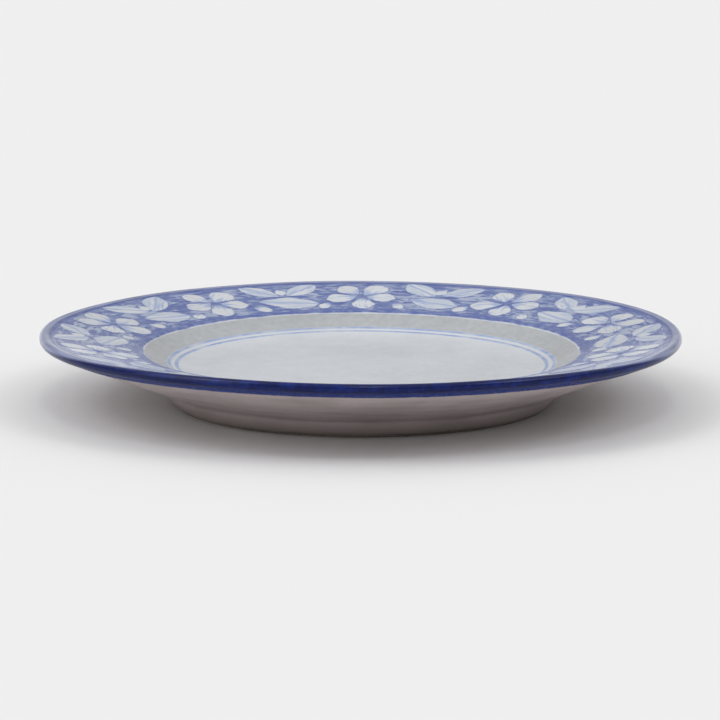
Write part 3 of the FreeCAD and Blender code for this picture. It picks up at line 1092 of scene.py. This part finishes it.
def lay_dab(pattern, border, start, turn, along, outward, repeat, size, tone, layer=0.0):
    """Copy a dab to its place: out by `start`, turned, then along the motif circle and outwards."""
    around = 2 * math.pi * repeat / border.blossom_count + along / border.circle_radius
    select_only(pattern)
    bpy.ops.object.duplicate()
    copy = bpy.context.object
    on_circle = Matrix.Rotation(around, 3, "Z") @ Vector((0, -border.circle_radius - outward, 0))
    out = Matrix.Rotation(around + turn, 3, "Z") @ Vector((start, 0, 0))
    copy.location = on_circle + out
    copy.rotation_euler = (0, 0, around + turn)
    copy.scale = (size, size, 1)
    bpy.ops.object.transform_apply(location=True, rotation=True, scale=True)
    for mark, value in (("tone", tone), ("layer", layer)):
        for entry in copy.data.attributes[mark].data:
            entry.value = value
    return copy


BRUSH_SWELLS = (
    # direction, size of the unevenness, how far it moves a dab's edge
    ("X", 6.0 * MM, 1.5 * MM),
    ("Y", 6.5 * MM, 1.5 * MM),
)
DAB_SLOPE = 1.5 * MM
LAYER_STEP = 0.04 * MM
# From one dab to the next the size, and from one blossom to the next the turn in degrees, change as a
# wave that moves on by so many radians.
SIZE_CHANGE = 0.06
SIZE_STEP = 2.4
BLOSSOM_TURN = 90.0
TURN_CHANGE = 11.0
TURN_STEP = 1.9
# How much longer and wider a dab is drawn than its size, where it is fullest, and its fullness.
LEAF_SHAPE = (1.0, 1.1, 0.92, 0.85)
BUD_SHAPE = (1.1, 1.2, 1.2, 0.62)
PETAL_SHAPE = (1.0, 1.12, 1.4, 0.62)
CENTRE_SHAPE = (1.0, 1.0, 1.0, 0.55)
CENTRE_RIM = 0.3 * MM
# How far the middle of each kind of dab stands over its edge.
LEAF_SWELL = 0.05 * MM
BUD_SWELL = 0.06 * MM
PETAL_SWELL = 0.07 * MM
CENTRE_SWELL = 0.1 * MM
# How far a coat's surface lies over the glaze's.
GROUND_LIFT = 0.06 * MM
LINE_LIFT = 0.11 * MM
LEAF_LIFT = 0.8 * GROUND_LIFT
BUD_LIFT = 1.1 * GROUND_LIFT
PETAL_LIFT = 1.2 * GROUND_LIFT
CENTRE_LIFT = 2 * GROUND_LIFT
# How far the hand strays, in degrees and in size, and where each kind's own run of chance starts.
LEAF_STRAY = 5
BUD_STRAY = 14
PETAL_STRAY = 6
BUD_SIZES = (0.94, 1.12)
CENTRE_SIZES = (0.9, 1.15)
LEAF_CHANCE = 7
BUD_CHANCE = 19
BLOSSOM_CHANCE = 31


def settle_dabs(name, pattern, copies, height, lift, border):
    """Join the copies, drop them on to the face and give them their thickness."""
    deselect_everything()
    for copy in copies:
        copy.select_set(True)
    bpy.context.view_layer.objects.active = copies[0]
    bpy.ops.object.join()
    piece = bpy.context.object
    piece.name = name
    piece.data.name = name
    bpy.data.objects.remove(pattern)
    for direction, size, reach in BRUSH_SWELLS:
        swell(piece, direction, size, reach)
    apply_modifier(
        piece, "drop", "SHRINKWRAP", target=bpy.data.objects["face_glaze_coat"], wrap_method="PROJECT",
        use_project_z=True, use_negative_direction=True, use_positive_direction=False,
    )
    from_edge = marks_of(piece, "from_edge")
    layer = marks_of(piece, "layer")
    weigh(piece, "thick", lambda vertex: smooth_step(from_edge[vertex.index] / DAB_SLOPE))
    weigh(piece, "layer", lambda vertex: layer[vertex.index])
    shift(piece, "Z", lift)
    shift(piece, "Z", height, "thick")
    shift(piece, "Z", LAYER_STEP, "layer")
    piece.vertex_groups.clear()
    thicken(piece, border.paint_thickness, even=False)
    return piece


def shaped_dab(name, length, width, shape, rim):
    """One dab of the shape that one of the lists below gives."""
    longer, wider, fullest, fullness = shape
    return dab(name, dab_outline(longer * length, wider * width, fullest, fullness, rim), length, width)


def hand_size(number):
    """A small change in size from one painted motif to the next."""
    return 1.0 + SIZE_CHANGE * math.sin(SIZE_STEP * number)


def blossom_turn(repeat):
    """How far each blossom is turned."""
    return math.radians(BLOSSOM_TURN + TURN_CHANGE * math.sin(TURN_STEP * repeat))


LEAVES = (
    # along the motif circle, outwards from it, turn in degrees, size
    (20.8 * MM, 7.0 * MM, 40.0, 0.82),
    (28.2 * MM, -5.6 * MM, -12.0, 1.0),
    (35.6 * MM, 7.0 * MM, 140.0, 0.82),
)
BUDS = (
    (14.8 * MM, -9.4 * MM, 55.0, 1.0),
    (28.2 * MM, 6.0 * MM, 90.0, 1.0),
    (41.6 * MM, -9.8 * MM, 125.0, 1.0),
)


# ---------------------------------------------------------------- pieces


GLAZE_ROLL = 0.2 * MM
PAINT_SUNK = 0.03 * MM
BAND_FEATHER = 0.9 * MM
RING_FEATHER = 0.6 * MM
# How far a ring of paint runs on past its own edges, under or over what lies beside it.
GROUND_INWARD = 0.9 * MM
GROUND_OUTWARD = 0.5 * MM
LINE_INWARD = 0.4 * MM
LINE_OUTWARD = 0.7 * MM
WELL_LINE_SPARE = 0.4 * MM


class PLATE_OT_stage(bpy.types.Operator):
    """Add the floor, the soft studio light and the camera"""

    bl_idname = "plate.stage"
    bl_label = "Stage"

    def execute(self, context):
        add_floor()
        add_light()
        add_camera()
        return {"FINISHED"}


class PLATE_OT_clay(bpy.types.Operator):
    """Throw the clay disc and the foot ring under it"""

    bl_idname = "plate.clay"
    bl_label = "Clay"

    def execute(self, context):
        sizes, colours = context.scene.plate_sizes, context.scene.plate_colours
        disc = turned("clay_body_thrown", clay_line(sizes), sizes.turns)
        make_uneven(disc, sizes)
        finish_piece(disc, bare_clay("clay", colours, 0.75), "clay_body")
        foot = turned("foot_ring_thrown", foot_line(sizes), sizes.turns, closed=True)
        make_uneven(foot, sizes)
        finish_piece(foot, bare_clay("bare_foot", colours, 0.5), "foot_ring")
        return {"FINISHED"}


class PLATE_OT_glazes(bpy.types.Operator):
    """Glaze the face, the back and the recess inside the foot"""

    bl_idname = "plate.glazes"
    bl_label = "Glazes"

    def execute(self, context):
        sizes, border = context.scene.plate_sizes, context.scene.border_sizes
        colours = context.scene.plate_colours
        face_line = face_between(sizes, 0.0, border.outer_radius + BAND_BLEND)
        face = turned("face_glaze_coat", face_line, sizes.turns)
        look_outwards(face, upwards)
        make_uneven(face, sizes)
        thicken(face, sizes.glaze_thickness)
        finish_piece(face, white_glaze(colours, sizes), "face_glaze")
        under = back_glaze(colours, sizes)
        back = turned("back_glaze_coat", back_line(sizes), sizes.turns)
        look_outwards(back, down_and_out)
        make_uneven(back, sizes)
        raise_coat(back, GLAZE_ROLL, 0.0, 2 * GLAZE_ROLL)
        thicken(back, sizes.glaze_thickness - GLAZE_ROLL)
        finish_piece(back, under, "back_glaze")
        recess = turned("recess_glaze_coat", recess_line(sizes), sizes.turns)
        look_outwards(recess, down_and_in)
        make_uneven(recess, sizes)
        thicken(recess, sizes.glaze_thickness)
        finish_piece(recess, under, "recess_glaze")
        return {"FINISHED"}


def painted_ring(name, line, outward, lift, feather, sizes, border):
    """A ring of paint laid on the turning plate."""
    piece = turned(name, line, sizes.turns)
    look_outwards(piece, outward)
    make_uneven(piece, sizes)
    raise_coat(piece, PAINT_SUNK, lift, feather)
    thicken(piece, border.paint_thickness)
    return piece


class PLATE_OT_rings(bpy.types.Operator):
    """Lay the lip band, the border's ground and closing line, and the two lines in the well"""

    bl_idname = "plate.rings"
    bl_label = "Painted rings"

    def execute(self, context):
        sizes, border = context.scene.plate_sizes, context.scene.border_sizes
        colours = context.scene.plate_colours
        band = painted_ring(
            "lip_band_coat", lip_line(sizes, border), away_from_lip, LINE_LIFT, BAND_FEATHER, sizes, border
        )
        finish_piece(band, lip_cobalt(colours, sizes, border), "lip_band")
        ground = painted_ring(
            "border_ground_coat",
            face_between(
                sizes, border.line_outer_radius - GROUND_INWARD, border.outer_radius + GROUND_OUTWARD
            ),
            upwards, GROUND_LIFT, RING_FEATHER, sizes, border,
        )
        finish_piece(ground, border_wash(colours, sizes, border), "border_ground")
        line = painted_ring(
            "border_line_coat",
            divided_line(
                face_between(
                    sizes, border.inner_radius - LINE_INWARD, border.line_outer_radius + LINE_OUTWARD
                ),
                FINE_STEP / 2,
            ),
            upwards, LINE_LIFT, RING_FEATHER, sizes, border,
        )
        finish_piece(line, closing_line(colours, sizes, border), "border_line")
        pale = fine_line(colours, sizes)
        for node, outer in (
            ("outer_well_line", border.outer_well_line),
            ("inner_well_line", border.inner_well_line),
        ):
            inner = outer - border.well_line_width
            line = painted_ring(
                f"{node}_coat",
                divided_line(
                    face_between(sizes, inner - WELL_LINE_SPARE, outer + WELL_LINE_SPARE), FINE_STEP / 3
                ),
                upwards, GROUND_LIFT, RING_FEATHER, sizes, border,
            )
            finish_piece(line, pale, node)
        return {"FINISHED"}


class PLATE_OT_leaves(bpy.types.Operator):
    """Paint the pale blue leaves"""

    bl_idname = "plate.leaves"
    bl_label = "Leaves"

    def execute(self, context):
        sizes, border = context.scene.plate_sizes, context.scene.border_sizes
        colours = context.scene.plate_colours
        hand = random.Random(LEAF_CHANCE)
        length, width, rim = border.leaf_length, border.leaf_width, border.outline_width
        pattern = shaped_dab("leaf_pattern", length, width, LEAF_SHAPE, rim)
        copies = []
        for repeat in range(border.blossom_count):
            for number, (along, outward, turn, size) in enumerate(LEAVES):
                size *= hand_size(repeat + number)
                turn = math.radians(turn + hand.uniform(-LEAF_STRAY, LEAF_STRAY))
                copies.append(lay_dab(
                    pattern, border, -length * size / 2, turn, along, outward, repeat, size,
                    hand.random(), number / len(LEAVES),
                ))
        piece = settle_dabs("leaves_painted", pattern, copies, LEAF_SWELL, LEAF_LIFT, border)
        material = dab_finish("pale_leaf", colours, sizes, border, leaf_colour)
        finish_piece(piece, material, "leaves")
        return {"FINISHED"}


class PLATE_OT_buds(bpy.types.Operator):
    """Paint the small buds"""

    bl_idname = "plate.buds"
    bl_label = "Buds"

    def execute(self, context):
        sizes, border = context.scene.plate_sizes, context.scene.border_sizes
        colours = context.scene.plate_colours
        hand = random.Random(BUD_CHANCE)
        length, width, rim = border.bud_length, border.bud_width, border.outline_width
        pattern = shaped_dab("bud_pattern", length, width, BUD_SHAPE, rim)
        copies = []
        for repeat in range(border.blossom_count):
            for along, outward, turn, size in BUDS:
                turn = math.radians(turn + hand.uniform(-BUD_STRAY, BUD_STRAY))
                size *= hand.uniform(*BUD_SIZES)
                copies.append(lay_dab(
                    pattern, border, -length * size / 2, turn, along, outward, repeat, size, hand.random(),
                ))
        piece = settle_dabs("buds_painted", pattern, copies, BUD_SWELL, BUD_LIFT, border)
        material = dab_finish("white_bud", colours, sizes, border, petal_colour)
        finish_piece(piece, material, "buds")
        return {"FINISHED"}


class PLATE_OT_blossoms(bpy.types.Operator):
    """Paint the blossoms: their white petals, then the dot in each middle"""

    bl_idname = "plate.blossoms"
    bl_label = "Blossoms"

    def execute(self, context):
        sizes, border = context.scene.plate_sizes, context.scene.border_sizes
        colours = context.scene.plate_colours
        hand = random.Random(BLOSSOM_CHANCE)
        length, width, rim = border.petal_length, border.petal_width, border.outline_width
        pattern = shaped_dab("petal_pattern", length, width, PETAL_SHAPE, rim)
        copies = []
        for repeat in range(border.blossom_count):
            for petal in range(border.petal_count):
                turn = blossom_turn(repeat) + petal * 2 * math.pi / border.petal_count
                turn += math.radians(hand.uniform(-PETAL_STRAY, PETAL_STRAY))
                size = hand_size(repeat * border.petal_count + petal)
                copies.append(lay_dab(
                    pattern, border, border.petal_start, turn, 0, 0, repeat, size, hand.random(),
                    petal / border.petal_count,
                ))
        petals = settle_dabs("blossom_petals_painted", pattern, copies, PETAL_SWELL, PETAL_LIFT, border)
        material = dab_finish("white_petal", colours, sizes, border, petal_colour)
        finish_piece(petals, material, "blossom_petals")
        across = 2 * border.centre_radius
        pattern = shaped_dab("centre_pattern", across, across, CENTRE_SHAPE, CENTRE_RIM)
        copies = [
            lay_dab(
                pattern, border, -border.centre_radius, hand.uniform(0, math.pi), 0, 0, repeat,
                hand.uniform(*CENTRE_SIZES), hand.random(),
            )
            for repeat in range(border.blossom_count)
        ]
        centres = settle_dabs("blossom_centres_painted", pattern, copies, CENTRE_SWELL, CENTRE_LIFT, border)
        material = dab_finish("blossom_centre", colours, sizes, border, centre_colour)
        finish_piece(centres, material, "blossom_centres")
        return {"FINISHED"}


# ---------------------------------------------------------------- floor, light and camera


FLOOR_SIZE = 14.0
FLOOR_DROP = 0.05 * MM
FLOOR_COLOUR = (0.75, 0.75, 0.75, 1.0)
CAMERA_DISTANCE = 1.0
CAMERA_ELEVATION = math.radians(10.92)
LOOKS_UP = math.radians(0.778)
LOOKS_LEFT = math.radians(0.025)
LENS = 148.3
SENSOR = 36.0
SUNS = (
    # name, heading from the front towards the right, elevation, strength, spread
    ("left_window", -76.0, 47.0, 0.5, 36.0),
    ("right_window", 72.0, 44.0, 0.4, 32.0),
    ("left_lamp", -70.0, 46.0, 0.12, 9.0),
    ("right_lamp", 66.0, 43.0, 0.1, 9.0),
    ("low_left_fill", -66.0, 15.0, 0.46, 45.0),
    ("front_lamp", 6.0, 60.0, 0.18, 8.0),
)
SKY = (
    # how high in the sky from 0 at the horizon to 1 overhead, brightness
    (0.0, 0.86),
    (0.09, 0.84),
    (0.16, 0.42),
    (0.40, 0.46),
    (0.80, 1.0),
    (1.0, 1.05),
)


def add_floor():
    """A plain pale floor."""
    deselect_everything()
    bpy.ops.mesh.primitive_plane_add(size=FLOOR_SIZE, location=(0, 0, -FLOOR_DROP))
    floor = bpy.context.object
    floor.name = "floor"
    bpy.ops.object.transform_apply(location=True, rotation=True, scale=True)
    finish = Finish("pale_floor", specular=0.0)
    floor.data.materials.append(finish.done(FLOOR_COLOUR, 0.95))


def add_light():
    """A soft sky that is brighter overhead, and wide soft lamps to the left, the right and the front."""
    world = bpy.data.worlds.new("studio")
    bpy.context.scene.world = world
    world.use_nodes = True
    nodes, links = world.node_tree.nodes, world.node_tree.links
    sky = nodes.new("ShaderNodeTexCoord")
    apart = nodes.new("ShaderNodeSeparateXYZ")
    ramp = nodes.new("ShaderNodeValToRGB")
    links.new(sky.outputs["Generated"], apart.inputs[0])
    links.new(apart.outputs["Z"], ramp.inputs["Fac"])
    links.new(ramp.outputs["Color"], nodes["Background"].inputs["Color"])
    stops = ramp.color_ramp.elements
    while len(stops) < len(SKY):
        stops.new(0.5)
    for stop, (height, brightness) in zip(stops, SKY):
        stop.position = height
        stop.color = (brightness, brightness, brightness, 1.0)
    for name, heading, elevation, strength, spread in SUNS:
        lamp = bpy.data.lights.new(name, "SUN")
        lamp.energy = strength
        lamp.angle = math.radians(spread)
        holder = bpy.data.objects.new(name, lamp)
        holder.rotation_euler = (math.radians(90 - elevation), 0, math.radians(heading))
        bpy.context.scene.collection.objects.link(holder)


def add_camera():
    """The camera, low in front of the plate."""
    data = bpy.data.cameras.new("camera")
    data.lens = LENS
    data.sensor_width = SENSOR
    camera = bpy.data.objects.new("camera", data)
    camera.location = (
        0,
        -CAMERA_DISTANCE * math.cos(CAMERA_ELEVATION),
        CAMERA_DISTANCE * math.sin(CAMERA_ELEVATION),
    )
    camera.rotation_euler = (math.radians(90) - CAMERA_ELEVATION + LOOKS_UP, 0, LOOKS_LEFT)
    bpy.context.scene.collection.objects.link(camera)
    bpy.context.scene.camera = camera
    bpy.context.scene.view_settings.view_transform = "Standard"


# ---------------------------------------------------------------- the add-on


STEPS = (PLATE_OT_stage, PLATE_OT_clay, PLATE_OT_glazes, PLATE_OT_rings, PLATE_OT_leaves, PLATE_OT_buds,
         PLATE_OT_blossoms)


class PLATE_PT_panel(bpy.types.Panel):
    """The steps that make the plate, in order"""

    bl_idname = "PLATE_PT_panel"
    bl_label = "Plate"
    bl_space_type = "VIEW_3D"
    bl_region_type = "UI"
    bl_category = "Plate"

    def draw(self, context):
        for step in STEPS:
            self.layout.operator(step.bl_idname)


CLASSES = (PlateSizes, BorderSizes, PlateColours) + STEPS + (PLATE_PT_panel,)


def register():
    """Register the classes and put the sizes and colours on the scene."""
    for item in CLASSES:
        bpy.utils.register_class(item)
    bpy.types.Scene.plate_sizes = PointerProperty(type=PlateSizes)
    bpy.types.Scene.border_sizes = PointerProperty(type=BorderSizes)
    bpy.types.Scene.plate_colours = PointerProperty(type=PlateColours)


def unregister():
    """Take the sizes, the colours and the classes away again."""
    del bpy.types.Scene.plate_colours
    del bpy.types.Scene.border_sizes
    del bpy.types.Scene.plate_sizes
    for item in reversed(CLASSES):
        bpy.utils.unregister_class(item)


def main():
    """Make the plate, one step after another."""
    register()
    bpy.ops.plate.stage()
    bpy.ops.plate.clay()
    bpy.ops.plate.glazes()
    bpy.ops.plate.rings()
    bpy.ops.plate.leaves()
    bpy.ops.plate.buds()
    bpy.ops.plate.blossoms()


if __name__ == "__main__":
    main()
